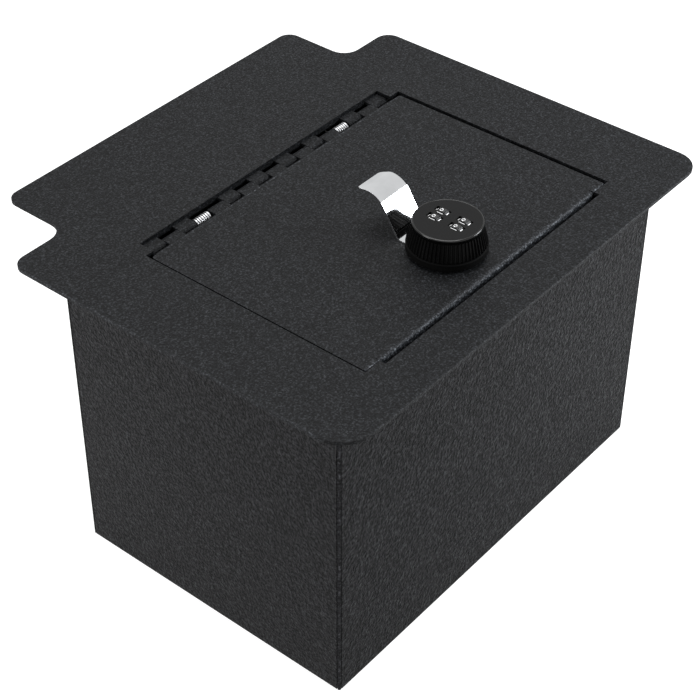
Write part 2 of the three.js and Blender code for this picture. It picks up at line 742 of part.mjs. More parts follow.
function camScrew() {
  const top = CAM_BOTTOM - SEAT;
  const head = lathe([
    [0, top - CAM_SCREW_HEAD],
    [CAM_SCREW_HEAD_RADIUS * 0.7, top - CAM_SCREW_HEAD],
    [CAM_SCREW_HEAD_RADIUS, top - CAM_SCREW_HEAD * 0.4],
    [CAM_SCREW_HEAD_RADIUS, top],
    [CAM_SCREW_RADIUS, top],
    [CAM_SCREW_RADIUS, top + CAM_SCREW_LENGTH],
    [0, top + CAM_SCREW_LENGTH],
  ], 24);
  const arm = CAM_SCREW_HEAD_RADIUS * 0.6;
  const slot = 0.6;
  const bottom = top - CAM_SCREW_HEAD;
  return cut(head, block(-arm, arm, -slot, slot, bottom - 1, bottom + 1),
    block(-slot, slot, -arm, arm, bottom - 1, bottom + 1));
}

// Knob

function ringPoints(radius, z, ribDepth) {
  const perRib = 4;
  return Array.from({ length: RIB_COUNT * perRib }, (_, i) => {
    const angle = (2 * Math.PI * i) / (RIB_COUNT * perRib);
    const valley = i % perRib >= 2 ? ribDepth : 0;
    return new THREE.Vector3((radius - valley) * Math.cos(angle),
      (radius - valley) * Math.sin(angle), z);
  });
}

function wheelPlaces() {
  const places = [];
  for (const row of [1, -1]) {
    for (const column of [-1, 1]) {
      places.push({
        x: WHEEL_COLUMN_OFFSET + (column * WHEEL_COLUMN_PITCH) / 2,
        y: (row * WHEEL_ROW_PITCH) / 2,
      });
    }
  }
  return places;
}

function axleSpan() {
  const reach = WHEEL_COLUMN_PITCH / 2 + WHEEL_WIDTH / 2 + AXLE_OVERHANG;
  return [WHEEL_COLUMN_OFFSET - reach, WHEEL_COLUMN_OFFSET + reach];
}

function dialKnob() {
  const ribTop = KNOB_TOP - RIM_HEIGHT;
  const body = loft([
    ringPoints(KNOB_BASE_RADIUS - RIB_DEPTH, KNOB_BOTTOM, 0),
    ringPoints(KNOB_BASE_RADIUS, KNOB_BOTTOM + KNOB_EDGE, RIB_DEPTH),
    ringPoints(KNOB_TOP_RADIUS, ribTop - KNOB_EDGE, RIB_DEPTH),
    ringPoints(KNOB_TOP_RADIUS, ribTop, 0),
    ringPoints(KNOB_TOP_RADIUS - RIM_TAPER, KNOB_TOP - KNOB_EDGE, 0),
    ringPoints((KNOB_TOP_RADIUS + KNOB_FACE_RADIUS) / 2, KNOB_TOP - RIM_TAPER, 0),
    ringPoints(KNOB_FACE_RADIUS, KNOB_TOP, 0),
  ]);
  const halfWidth = WHEEL_WIDTH / 2 + WHEEL_CLEARANCE;
  const radius = WHEEL_RADIUS + WHEEL_CLEARANCE;
  const cuts = [];
  for (const { x, y } of wheelPlaces()) {
    cuts.push(cylinderAlongX(radius, x - halfWidth, x + halfWidth, 40, y, WHEEL_Z));
    const half = WINDOW_LENGTH / 2;
    const floor = WHEEL_Z + Math.sqrt(radius ** 2 - half ** 2);
    cuts.push(block(x - halfWidth, x + halfWidth, y - half, y + half, floor, KNOB_TOP + 1));
  }
  const [left, right] = axleSpan();
  for (const row of [1, -1]) {
    cuts.push(cylinderAlongX(AXLE_RADIUS + AXLE_CLEARANCE, left - AXLE_CLEARANCE,
      right + AXLE_CLEARANCE, 16, (row * WHEEL_ROW_PITCH) / 2, WHEEL_Z));
  }
  return cut(body, ...cuts);
}

// Ten flats with a groove between each two, and a bore for the axle
function dialWheel() {
  const outline = [];
  const flat = (2 * Math.PI) / WHEEL_SIDES;
  const groove = (WHEEL_GROOVE_SHARE / 2) * flat;
  for (let i = 0; i < WHEEL_SIDES; i++) {
    const edge = flat * i;
    for (const [angle, depth] of [[edge - groove, 0], [edge, WHEEL_GROOVE], [edge + groove, 0]]) {
      const near = Math.abs(angle - edge);
      const radius = WHEEL_FLAT / Math.cos(flat / 2 - near) - depth;
      outline.push(new THREE.Vector2(radius * Math.cos(angle + flat / 2 + Math.PI / 2),
        radius * Math.sin(angle + flat / 2 + Math.PI / 2)));
    }
  }
  return barAlongX(outline, -WHEEL_WIDTH / 2, WHEEL_WIDTH / 2,
    [circlePoints(AXLE_RADIUS + AXLE_CLEARANCE, 16)]);
}

// Assembly

addPiece(root, 'top_plate', topPlate(), POWDER_COAT);
addPiece(root, 'left_wall', sideWall(BOX_LEFT), POWDER_COAT);
addPiece(root, 'right_wall', sideWall(BOX_RIGHT - WALL), POWDER_COAT);
addPiece(root, 'front_wall', crossWall(BOX_FRONT, BOX_FRONT + WALL), POWDER_COAT);
addPiece(root, 'back_wall', crossWall(BOX_BACK - WALL, BOX_BACK), POWDER_COAT);
addPiece(root, 'weld_front_left', cornerWeld(BOX_LEFT, BOX_FRONT), POWDER_COAT);
addPiece(root, 'weld_front_right', cornerWeld(BOX_RIGHT, BOX_FRONT), POWDER_COAT);
addPiece(root, 'weld_back_left', cornerWeld(BOX_LEFT, BOX_BACK), POWDER_COAT);
addPiece(root, 'weld_back_right', cornerWeld(BOX_RIGHT, BOX_BACK), POWDER_COAT);
addPiece(root, 'floor_panel', floorPanel(), POWDER_COAT);
addPiece(root, 'strike_bracket', strikeBracket(), POWDER_COAT);
addPiece(root, 'hinge_fixed_leaf', hingeLeaf('F', 1), POWDER_COAT);
addPiece(root, 'hinge_pin', hingePin(), ZINC);
const [leftSpace, rightSpace] = hingeSpaces().filter((space) => space.kind === 'S');
addPiece(root, 'hinge_spring_left',
  hingeSpring(leftSpace, LEFT_SPRING_COILS, 'hinge_spring_left'), ZINC);
addPiece(root, 'hinge_spring_right',
  hingeSpring(rightSpace, RIGHT_SPRING_COILS, 'hinge_spring_right'), ZINC);

addPiece(lid, 'lid_plate', lidPlate(), POWDER_COAT);
addPiece(lid, 'hinge_lid_leaf', hingeLeaf('L', -1), POWDER_COAT);

addPiece(lock, 'pull_tab', pullTab(), CHROME, [0, 0, SEAT]);
addPiece(lock, 'lock_housing', lockHousing(), BLACK_NYLON);
addPiece(lock, 'lock_washer', lockWasher(), ZINC);
addPiece(lock, 'lock_nut', lockNut(), ZINC);
addPiece(lock, 'spindle', spindle(), ZINC);
addPiece(lock, 'lock_cam', lockCam(), STEEL);
addPiece(lock, 'cam_screw', camScrew(), ZINC);
addPiece(lock, 'dial_knob', dialKnob(), BLACK_NYLON);
wheelPlaces().forEach(({ x, y }, i) => {
  addPiece(lock, `dial_wheel_${i + 1}`, dialWheel(), BLACK_NYLON, [x, y, WHEEL_Z]);
});
[['dial_axle_back', 1], ['dial_axle_front', -1]].forEach(([name, row]) => {
  addPiece(lock, name, cylinderAlongX(AXLE_RADIUS, ...axleSpan(), 12), ZINC,
    [0, (row * WHEEL_ROW_PITCH) / 2, WHEEL_Z]);
});

export default root;
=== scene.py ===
"""Looks of the console safe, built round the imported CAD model. Metres, same frame as the CAD."""

import math

import bpy
from mathutils import Matrix, Vector


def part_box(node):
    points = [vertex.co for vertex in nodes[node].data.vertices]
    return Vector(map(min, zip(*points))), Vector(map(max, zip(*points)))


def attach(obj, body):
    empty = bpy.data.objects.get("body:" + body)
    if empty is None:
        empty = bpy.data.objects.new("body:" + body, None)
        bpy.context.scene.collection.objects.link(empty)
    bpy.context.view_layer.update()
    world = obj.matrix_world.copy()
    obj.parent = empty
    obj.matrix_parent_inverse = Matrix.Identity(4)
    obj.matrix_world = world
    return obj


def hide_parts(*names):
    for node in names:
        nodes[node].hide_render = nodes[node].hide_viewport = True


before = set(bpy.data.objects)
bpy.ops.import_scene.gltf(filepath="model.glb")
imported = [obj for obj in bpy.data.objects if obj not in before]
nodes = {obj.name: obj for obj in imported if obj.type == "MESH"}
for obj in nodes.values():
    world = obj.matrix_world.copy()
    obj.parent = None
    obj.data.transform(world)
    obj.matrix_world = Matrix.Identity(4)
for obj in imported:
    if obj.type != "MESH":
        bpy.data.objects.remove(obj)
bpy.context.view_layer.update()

# The studio is in metres; sizes on the safe are in millimetres, times MM where they are used
MM = 0.001
WHEELS = range(1, 5)


# Camera and light

# The camera's place and two of its axes, as solved on the photograph's edges
CAMERA_PLACE = (-0.644464, -0.538265, 0.782462)
CAMERA_RIGHT = Vector((0.635977, -0.7717, 0.003627))
CAMERA_BACK = Vector((-0.59684, -0.48888, 0.636221))
SENSOR_WIDTH = 36
FOCAL_LENGTH = 93.7176

ROOM_COLOUR = (0.98, 0.99, 1)
ROOM_STRENGTH = 0.42
LAMP_AIM = (0, 0, 0.15)
FLOOR_HALF_SIDE = 3.0
FLOOR_LEVEL = -0.0003
FLOOR_GREY = 0.45
FLOOR_GLOW = 0.8


def make_camera():
    """The camera at the photograph's place, turned by its three axes."""
    data = bpy.data.cameras.new("camera")
    data.sensor_width = SENSOR_WIDTH
    data.lens = FOCAL_LENGTH
    data.clip_start = 0.05
    data.clip_end = 20
    camera = bpy.data.objects.new("camera", data)
    bpy.context.scene.collection.objects.link(camera)
    right = CAMERA_RIGHT.normalized()
    back = CAMERA_BACK.normalized()
    up = back.cross(right).normalized()
    turn = Matrix((right, up, back)).transposed().to_4x4()
    camera.matrix_world = Matrix.Translation(CAMERA_PLACE) @ turn
    bpy.context.scene.camera = camera


def area_light(name, place, size, watts, aim=LAMP_AIM, colour=(1, 1, 1)):
    """A soft box at a place, turned towards its aim."""
    data = bpy.data.lights.new(name, "AREA")
    data.shape = "RECTANGLE"
    data.size, data.size_y = size
    data.energy = watts
    data.color = colour
    lamp = bpy.data.objects.new(name, data)
    bpy.context.scene.collection.objects.link(lamp)
    lamp.location = place
    lamp.rotation_euler = (Vector(aim) - Vector(place)).to_track_quat("-Z", "Y").to_euler()


def white_to_rays(tree):
    """1 for camera, glossy and transmission rays, which see the background as white."""
    path = tree.nodes.new("ShaderNodeLightPath")
    total = path.outputs["Is Camera Ray"]
    for name in ("Is Glossy Ray", "Is Transmission Ray"):
        add = tree.nodes.new("ShaderNodeMath")
        add.operation = "ADD"
        add.use_clamp = True
        tree.links.new(total, add.inputs[0])
        tree.links.new(path.outputs[name], add.inputs[1])
        total = add.outputs[0]
    return total


def make_world():
    """A soft room light on the object, and plain white for the rays that see the background."""
    world = bpy.data.worlds.new("studio")
    bpy.context.scene.world = world
    world.use_nodes = True
    tree = world.node_tree
    tree.nodes.clear()
    out = tree.nodes.new("ShaderNodeOutputWorld")
    mix = tree.nodes.new("ShaderNodeMixShader")
    room = tree.nodes.new("ShaderNodeBackground")
    white = tree.nodes.new("ShaderNodeBackground")
    room.inputs["Color"].default_value = (*ROOM_COLOUR, 1)
    room.inputs["Strength"].default_value = ROOM_STRENGTH
    white.inputs["Color"].default_value = (1, 1, 1, 1)
    white.inputs["Strength"].default_value = 1
    tree.links.new(white_to_rays(tree), mix.inputs["Fac"])
    tree.links.new(room.outputs[0], mix.inputs[1])
    tree.links.new(white.outputs[0], mix.inputs[2])
    tree.links.new(mix.outputs[0], out.inputs["Surface"])


def new_material(name):
    """A material with nothing in it but its output."""
    material = bpy.data.materials.new(name)
    material.use_nodes = True
    tree = material.node_tree
    tree.nodes.clear()
    out = tree.nodes.new("ShaderNodeOutputMaterial")
    return material, tree, out


def make_floor():
    """A pale floor that keeps the object's shadow and otherwise shows as white."""
    half, low = FLOOR_HALF_SIDE, FLOOR_LEVEL
    mesh = bpy.data.meshes.new("studio_floor")
    mesh.from_pydata([(-half, -half, low), (half, -half, low), (half, half, low),
                      (-half, half, low)], [], [(0, 1, 2, 3)])
    floor = bpy.data.objects.new("studio_floor", mesh)
    bpy.context.scene.collection.objects.link(floor)
    material, tree, out = new_material("floor_white")
    paint = tree.nodes.new("ShaderNodeBsdfDiffuse")
    paint.inputs["Color"].default_value = (FLOOR_GREY, FLOOR_GREY, FLOOR_GREY, 1)
    glow = tree.nodes.new("ShaderNodeEmission")
    glow.inputs["Color"].default_value = (1, 1, 1, 1)
    strength = tree.nodes.new("ShaderNodeMath")
    strength.operation = "MULTIPLY"
    strength.inputs[1].default_value = FLOOR_GLOW
    add = tree.nodes.new("ShaderNodeAddShader")
    tree.links.new(white_to_rays(tree), strength.inputs[0])
    tree.links.new(strength.outputs[0], glow.inputs["Strength"])
    tree.links.new(paint.outputs[0], add.inputs[0])
    tree.links.new(glow.outputs[0], add.inputs[1])
    tree.links.new(add.outputs[0], out.inputs["Surface"])
    mesh.materials.append(material)


# Shader pieces


def noise(tree, coordinates, scale, detail=2.0, roughness=0.5):
    node = tree.nodes.new("ShaderNodeTexNoise")
    node.inputs["Scale"].default_value = scale
    node.inputs["Detail"].default_value = detail
    node.inputs["Roughness"].default_value = roughness
    tree.links.new(coordinates, node.inputs["Vector"])
    return node.outputs["Fac"]


def ramp(tree, factor, stops):
    """A colour ramp: each stop is a place and either a grey value or a colour."""
    node = tree.nodes.new("ShaderNodeValToRGB")
    elements = node.color_ramp.elements
    while len(elements) < len(stops):
        elements.new(0.5)
    for element, (place, value) in zip(elements, stops):
        element.position = place
        element.color = (*value, 1) if isinstance(value, tuple) else (value, value, value, 1)
    tree.links.new(factor, node.inputs["Fac"])
    return node.outputs["Color"]


def between(tree, factor, low, high, start=0.3, end=0.7):
    """From low to high as the factor goes from start to end."""
    return ramp(tree, factor, [(start, low), (end, high)])


def object_coordinates(tree, stretch=(1, 1, 1)):
    node = tree.nodes.new("ShaderNodeTexCoord")
    if stretch == (1, 1, 1):
        return node.outputs["Object"]
    mapping = tree.nodes.new("ShaderNodeMapping")
    mapping.inputs["Scale"].default_value = stretch
    tree.links.new(node.outputs["Object"], mapping.inputs["Vector"])
    return mapping.outputs["Vector"]


def bump(tree, height, strength, distance):
    """Relief from a height; the distance is in metres."""
    node = tree.nodes.new("ShaderNodeBump")
    node.inputs["Strength"].default_value = strength
    node.inputs["Distance"].default_value = distance
    tree.links.new(height, node.inputs["Height"])
    return node.outputs["Normal"]


def painted_edge_light_and_shade(tree, colour, places):
    """Painted light and shade near edges: the colour times a gain, where each place is an axis,
    its start and end, and a gain.
    """
    split = tree.nodes.new("ShaderNodeSeparateXYZ")
    tree.links.new(object_coordinates(tree), split.inputs["Vector"])
    for axis, start, end, gain in places:
        edge_gain = tree.nodes.new("ShaderNodeMapRange")
        edge_gain.inputs["From Min"].default_value = start
        edge_gain.inputs["From Max"].default_value = end
        edge_gain.inputs["To Min"].default_value = 1
        edge_gain.inputs["To Max"].default_value = gain
        tree.links.new(split.outputs[axis], edge_gain.inputs["Value"])
        product = tree.nodes.new("ShaderNodeVectorMath")
        product.operation = "SCALE"
        tree.links.new(colour, product.inputs[0])
        tree.links.new(edge_gain.outputs["Result"], product.inputs["Scale"])
        colour = product.outputs["Vector"]
    return colour


# Kinds of material

MOTTLE_SCALE = 18
MOTTLE_SHARE = 0.35
MOTTLE_DARK = 0.75
COAT_GLOSS_SPREAD = 0.08
METAL_TONE_SPREAD = 0.06
SMOOTH_DEPTH = 0.1 * MM
TONE_START, TONE_END = 0.35, 0.65
KNOB_GRAIN_SCALE = 1800
# Below the knob's top, where the finish of its sides gives way to that of its face
KNOB_FACE_FROM, KNOB_FACE_TO = 0.12, 0.04


def principled(name):
    """A material with one Principled shader."""
    material, tree, out = new_material(name)
    shader = tree.nodes.new("ShaderNodeBsdfPrincipled")
    tree.links.new(shader.outputs[0], out.inputs["Surface"])
    return material, tree, shader


def powder_coat(name, grain, stops, depth, roughness, specular, stretch=(1, 1, 1), painted_edges=()):
    """Black wrinkle powder coat: fine raised grain, slightly mottled, with painted highlights on
    the grain's tops, painted shade in its hollows, and painted light and shade at the given edges.
    """
    material, tree, shader = principled(name)
    where = object_coordinates(tree, stretch)
    fine = noise(tree, where, 1 / (grain * MM), 3.0, 0.6)
    broad = noise(tree, where, MOTTLE_SCALE, 2.0)
    mottled = tree.nodes.new("ShaderNodeMixRGB")
    mottled.blend_type = "MULTIPLY"
    mottled.inputs["Fac"].default_value = MOTTLE_SHARE
    tree.links.new(ramp(tree, fine, stops), mottled.inputs["Color1"])
    tree.links.new(between(tree, broad, MOTTLE_DARK, 1.0), mottled.inputs["Color2"])
    tree.links.new(painted_edge_light_and_shade(tree, mottled.outputs["Color"], painted_edges), shader.inputs["Base Color"])
    rough = between(tree, fine, roughness + COAT_GLOSS_SPREAD, roughness - COAT_GLOSS_SPREAD)
    tree.links.new(rough, shader.inputs["Roughness"])
    shader.inputs["Specular IOR Level"].default_value = specular
    tree.links.new(bump(tree, fine, 1.0, depth * MM), shader.inputs["Normal"])
    return material


def smooth_finish(tree, shader, fine, dark, pale, roughness, strength):
    """Tone, gloss and relief of a smooth surface, which all follow one fine noise."""
    tone = between(tree, fine, dark, pale, TONE_START, TONE_END)
    tree.links.new(tone, shader.inputs["Base Color"])
    tree.links.new(between(tree, fine, *roughness), shader.inputs["Roughness"])
    tree.links.new(bump(tree, fine, strength, SMOOTH_DEPTH), shader.inputs["Normal"])


def metal(name, colour, roughness, grain_scale, strength=0.05):
    """Bare or plated metal with a slight change of tone and gloss."""
    material, tree, shader = principled(name)
    shader.inputs["Metallic"].default_value = 1
    fine = noise(tree, object_coordinates(tree), grain_scale, 3.0)
    dark, pale = (tuple(c * gain for c in colour)
                  for gain in (1 - METAL_TONE_SPREAD, 1 + METAL_TONE_SPREAD))
    smooth_finish(tree, shader, fine, dark, pale, roughness, strength)
    return material


def plastic(name, dark, pale, roughness, grain_scale, strength, specular):
    """Moulded plastic or paint between a dark and a pale grey."""
    material, tree, shader = principled(name)
    fine = noise(tree, object_coordinates(tree), grain_scale, 2.0)
    smooth_finish(tree, shader, fine, dark, pale, roughness, strength)
    shader.inputs["Specular IOR Level"].default_value = specular
    return material


def knob_nylon(name, top):
    """Black nylon: a matte face at height top, and glossy darker sides below it."""
    material, tree, shader = principled(name)
    where = object_coordinates(tree)
    fine = noise(tree, where, KNOB_GRAIN_SCALE, 2.0)
    split = tree.nodes.new("ShaderNodeSeparateXYZ")
    tree.links.new(where, split.inputs["Vector"])
    face = tree.nodes.new("ShaderNodeMapRange")
    face.inputs["From Min"].default_value = top - KNOB_FACE_FROM * MM
    face.inputs["From Max"].default_value = top - KNOB_FACE_TO * MM
    tree.links.new(split.outputs["Z"], face.inputs["Value"])
    for socket, side, flat in (("Base Color", (0.0035, 0.005), (0.0072, 0.0098)),
                               ("Roughness", (0.16, 0.22), (0.5, 0.6))):
        mix = tree.nodes.new("ShaderNodeMixRGB")
        tree.links.new(face.outputs["Result"], mix.inputs["Fac"])
        tree.links.new(between(tree, fine, *side), mix.inputs["Color1"])
        tree.links.new(between(tree, fine, *flat), mix.inputs["Color2"])
        tree.links.new(mix.outputs["Color"], shader.inputs[socket])
    shader.inputs["Specular IOR Level"].default_value = 0.06
    tree.links.new(bump(tree, fine, 0.15, SMOOTH_DEPTH), shader.inputs["Normal"])
    return material


# Making pieces

BOX_FACES = [(0, 3, 2, 1), (4, 5, 6, 7), (0, 1, 5, 4), (1, 2, 6, 5), (2, 3, 7, 6), (3, 0, 4, 7)]


def new_piece(name, vertices, faces, material, body, smooth=True):
    """A mesh of the scene's own, which rides on a body and has the given material."""
    mesh = bpy.data.meshes.new(name)
    mesh.from_pydata([tuple(v) for v in vertices], [], faces)
    mesh.update()
    if smooth:
        mesh.shade_smooth()
    mesh.materials.append(material)
    piece = bpy.data.objects.new(name, mesh)
    bpy.context.scene.collection.objects.link(piece)
    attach(piece, body)
    return piece


def tube(points, radius, sides):
    """Vertices and faces of a closed round tube along a line of points, without twist."""
    vertices, faces = [], []
    normal = Vector((1, 0, 0))
    last = len(points) - 1
    for i, point in enumerate(points):
        tangent = (points[min(i + 1, last)] - points[max(i - 1, 0)]).normalized()
        normal = (normal - tangent * normal.dot(tangent)).normalized()
        binormal = tangent.cross(normal)
        for k in range(sides):
            angle = 2 * math.pi * k / sides
            vertices.append(point + normal * (radius * math.cos(angle))
                            + binormal * (radius * math.sin(angle)))
    for i in range(last):
        for k in range(sides):
            a, b = i * sides + k, i * sides + (k + 1) % sides
            faces.append((a, b, b + sides, a + sides))
    faces.append(tuple(reversed(range(sides))))
    faces.append(tuple(last * sides + k for k in range(sides)))
    return vertices, faces


def stroke_box(start, end, half, low, high):
    """The corners of a stroke from start to end, lengthened by half its width at both ends."""
    (x0, y0), (x1, y1) = start, end
    x0, x1 = sorted((x0, x1))
    y0, y1 = sorted((y0, y1))
    corners = [(x0 - half, y0 - half), (x1 + half, y0 - half), (x1 + half, y1 + half),
               (x0 - half, y1 + half)]
    return [(x, y, z) for z in (low, high) for x, y in corners]


def bevel(node, width, angle=35):
    """Softens a CAD node's edges that are sharper than the angle."""
    modifier = nodes[node].modifiers.new("edge", "BEVEL")
    modifier.width = width * MM
    modifier.segments = 2
    modifier.limit_method = "ANGLE"
    modifier.angle_limit = math.radians(angle)
    modifier.harden_normals = False


def dress(material, *names):
    """Gives CAD nodes a material."""
    for name in names:
        nodes[name].data.materials.clear()
        nodes[name].data.materials.append(material)


# Hinge springs: the same coils as the CAD's, with rounder wire

SPRING_COILS = {"hinge_spring_left": 7, "hinge_spring_right": 6}
SPRING_RADIUS = 2.95
SPRING_WIRE = 1.1
SPRING_PITCH = 1.6
SPRING_LEG = 13
KNUCKLE_BORE = 1.9
LEG_GAP = 0.3
STEPS_PER_TURN = 28
WIRE_SIDES = 12


def spring_points(middle, coils):
    """The wire's middle line: a leg, the coils round the hinge pin, and the other leg."""
    rise = SPRING_RADIUS - KNUCKLE_BORE + SPRING_WIRE / 2 + LEG_GAP
    lift = math.atan2(2 * SPRING_RADIUS - rise, SPRING_LEG)
    turns = coils + lift / math.pi
    first = -math.pi / 2 + lift
    length = turns * SPRING_PITCH * MM
    radius = SPRING_RADIUS * MM
    steps = round(turns * STEPS_PER_TURN)
    low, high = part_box("hinge_pin")
    pin = (low + high) / 2

    def at(t):
        angle = first - 2 * math.pi * turns * t
        return Vector((middle - length / 2 + length * t, pin.y + radius * math.cos(angle),
                       pin.z + radius * math.sin(angle)))

    def leg_from(point, side):
        reaches = (SPRING_LEG, SPRING_LEG * 0.6, SPRING_LEG * 0.3, SPRING_WIRE)
        return [point + Vector((0, side * math.cos(lift), math.sin(lift))) * (reach * MM)
                for reach in reaches]

    coil = [at(i / steps) for i in range(steps + 1)]
    return leg_from(coil[0], 1) + coil + leg_from(coil[-1], -1)[::-1]


def make_springs(material):
    """Both springs, each in place of its CAD node."""
    for node, coils in SPRING_COILS.items():
        low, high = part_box(node)
        points = spring_points((low.x + high.x) / 2, coils)
        vertices, faces = tube(points, SPRING_WIRE / 2 * MM, WIRE_SIDES)
        piece = new_piece(node.replace("hinge_", "coiled_"), vertices, faces, material,
                          "safe_body")
        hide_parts(node)


# Pull tab: one smooth sheet, an eye round the barrel and a bent strip

TAB_THICKNESS = 1.2
TAB_HALF_WIDTH = 11.15
TAB_REACH = 52.6
TAB_RISE = 23.55
TAB_BEND_START = 22.2
TAB_FOOT_RADIUS = 4.0
TAB_CREST_RADIUS = 13.0
TAB_HOLLOW_RADIUS = 5.5
TAB_SLOPE = math.radians(57)
TAB_FALL = math.radians(-14)
TAB_LIP = math.radians(9)
# Corner radii at the strip's end: -1 is the left side, 1 the right
TAB_CORNERS = {-1: 0.8, 1: 6.0}
TAB_EYE_RADIUS = 15.0
TAB_HOLE_RADIUS = 9.8
TAB_HOLE_FLAT = 8.3
TAB_EDGE = 0.25
TAB_FLAT_ROWS = 3
TAB_BENT_ROWS = 76
TAB_CORNER_ROWS = 10
TAB_COLUMNS = 14
TAB_EYE_STEPS = 40


def tab_height(y):
    """Height of the sheet's middle above the lid, y mm behind the lock's centre."""
    half, foot, crest, hollow = (TAB_THICKNESS / 2, TAB_FOOT_RADIUS, TAB_CREST_RADIUS,
                                 TAB_HOLLOW_RADIUS)
    crest_z = TAB_RISE - half - crest
    climb = crest_z + crest * math.cos(TAB_SLOPE) - half - foot * (1 - math.cos(TAB_SLOPE))
    foot_end = TAB_BEND_START + foot * math.sin(TAB_SLOPE)
    crest_start = foot_end + climb / math.tan(TAB_SLOPE)
    crest_y = crest_start + crest * math.sin(TAB_SLOPE)
    hollow_y = crest_y - (crest + hollow) * math.sin(TAB_FALL)
    hollow_z = crest_z + (crest + hollow) * math.cos(TAB_FALL)
    crest_end = crest_y - crest * math.sin(TAB_FALL)
    hollow_end = hollow_y + hollow * math.sin(TAB_LIP)
    if y <= TAB_BEND_START:
        return half
    if y <= foot_end:
        return half + foot - math.sqrt(foot ** 2 - (y - TAB_BEND_START) ** 2)
    if y <= crest_start:
        return half + foot * (1 - math.cos(TAB_SLOPE)) + (y - foot_end) * math.tan(TAB_SLOPE)
    if y <= crest_end:
        return crest_z + math.sqrt(crest ** 2 - (y - crest_y) ** 2)
    if y <= hollow_end:
        return hollow_z - math.sqrt(hollow ** 2 - (y - hollow_y) ** 2)
    return hollow_z - hollow * math.cos(TAB_LIP) + (y - hollow_end) * math.tan(TAB_LIP)


def tab_edge(side, y):
    """Half width of the strip on one side, y mm behind the lock's centre."""
    radius = TAB_CORNERS[side]
    into = max(0.0, y - TAB_REACH + radius)
    return TAB_HALF_WIDTH - radius + math.sqrt(max(0.0, radius ** 2 - into ** 2))


def tab_rows(first):
    """Where the strip has a row of points: evenly along it, and closer at its corners."""
    rows = {first + (TAB_BEND_START - first) * i / TAB_FLAT_ROWS
            for i in range(TAB_FLAT_ROWS + 1)}
    rows |= {TAB_BEND_START + (TAB_REACH - TAB_BEND_START) * i / TAB_BENT_ROWS
             for i in range(TAB_BENT_ROWS + 1)}
    for radius in TAB_CORNERS.values():
        rows |= {TAB_REACH - radius + radius * math.sin(math.pi / 2 * i / TAB_CORNER_ROWS)
                 for i in range(TAB_CORNER_ROWS + 1)}
    return sorted({round(y, 3) for y in rows})


def make_tab(material):
    """The strip and the eye as one sheet of points, then given its thickness and soft edges."""
    low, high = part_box("pull_tab")
    centre = Vector(((low.x + high.x) / 2, low.y + TAB_EYE_RADIUS * MM, low.z))
    first = math.sqrt(TAB_EYE_RADIUS ** 2 - TAB_HALF_WIDTH ** 2)

    def place(x, y, z):
        return centre + Vector((x, y, z)) * MM

    def on_circle(radius, angle):
        return place(radius * math.cos(angle), radius * math.sin(angle), TAB_THICKNESS / 2)

    # The strip, row by row
    vertices, faces = [], []
    rows = tab_rows(first)
    for y in rows:
        left, right = -tab_edge(-1, y), tab_edge(1, y)
        vertices += [place(left + (right - left) * i / TAB_COLUMNS, y, tab_height(y))
                     for i in range(TAB_COLUMNS + 1)]
    for row in range(len(rows) - 1):
        for i in range(TAB_COLUMNS):
            a = row * (TAB_COLUMNS + 1) + i
            faces.append((a, a + 1, a + TAB_COLUMNS + 2, a + TAB_COLUMNS + 1))

    # The eye: its outer edge joins the strip's first row, and its hole has two flats
    outer = list(range(TAB_COLUMNS, -1, -1))
    start = math.atan2(first, -TAB_HALF_WIDTH)
    sweep = 2 * math.pi - 2 * (start - math.pi / 2)
    for i in range(1, TAB_EYE_STEPS):
        outer.append(len(vertices))
        vertices.append(on_circle(TAB_EYE_RADIUS, start + sweep * i / TAB_EYE_STEPS))
    inner = []
    for index in outer:
        out = vertices[index] - centre
        angle = math.atan2(out.y, out.x)
        flat = TAB_HOLE_FLAT / max(abs(math.cos(angle)), 1e-6)
        inner.append(len(vertices))
        vertices.append(on_circle(min(TAB_HOLE_RADIUS, flat), angle))
    for i in range(len(outer)):
        after = (i + 1) % len(outer)
        faces.append((outer[i], outer[after], inner[after], inner[i]))

    tab = new_piece("bent_tab", vertices, faces, material, "lid")
    sheet = tab.modifiers.new("sheet", "SOLIDIFY")
    sheet.thickness = TAB_THICKNESS * MM
    sheet.offset = 0
    edge = tab.modifiers.new("edge", "BEVEL")
    edge.width = TAB_EDGE * MM
    edge.segments = 3
    edge.limit_method = "ANGLE"
    edge.angle_limit = math.radians(40)
    edge.harden_normals = True
    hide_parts("pull_tab")


# Dial digits: raised strokes on each wheel's ten flats, read along the wheel's axle

# A stroke joins two points of a grid one wide and two high; i is the long stroke of a one
SEGMENTS = {"a": ((0, 2), (1, 2)), "b": ((1, 2), (1, 1)), "c": ((1, 1), (1, 0)),
            "d": ((0, 0), (1, 0)), "e": ((0, 0), (0, 1)), "f": ((0, 1), (0, 2)),
            "g": ((0, 1), (1, 1)), "i": ((0.5, 2.2), (0.5, -0.4))}
DIGITS = ["abcdef", "i", "abged", "abgcd", "fgbc", "afgcd", "afgedc", "abc", "abcdefg", "abcdfg"]
DIGIT_WIDTH = 1.5
DIGIT_HEIGHT = 1.75
DIGIT_STROKE = 0.48
# Places are along the axle and across the flat, from the flat's middle
DIGIT_PLACE = (-0.1, 0.6)
ONE_PLACE = (-0.5, 0.3)
DIGIT_SUNK = 0.05
DIGIT_PROUD = 0.04


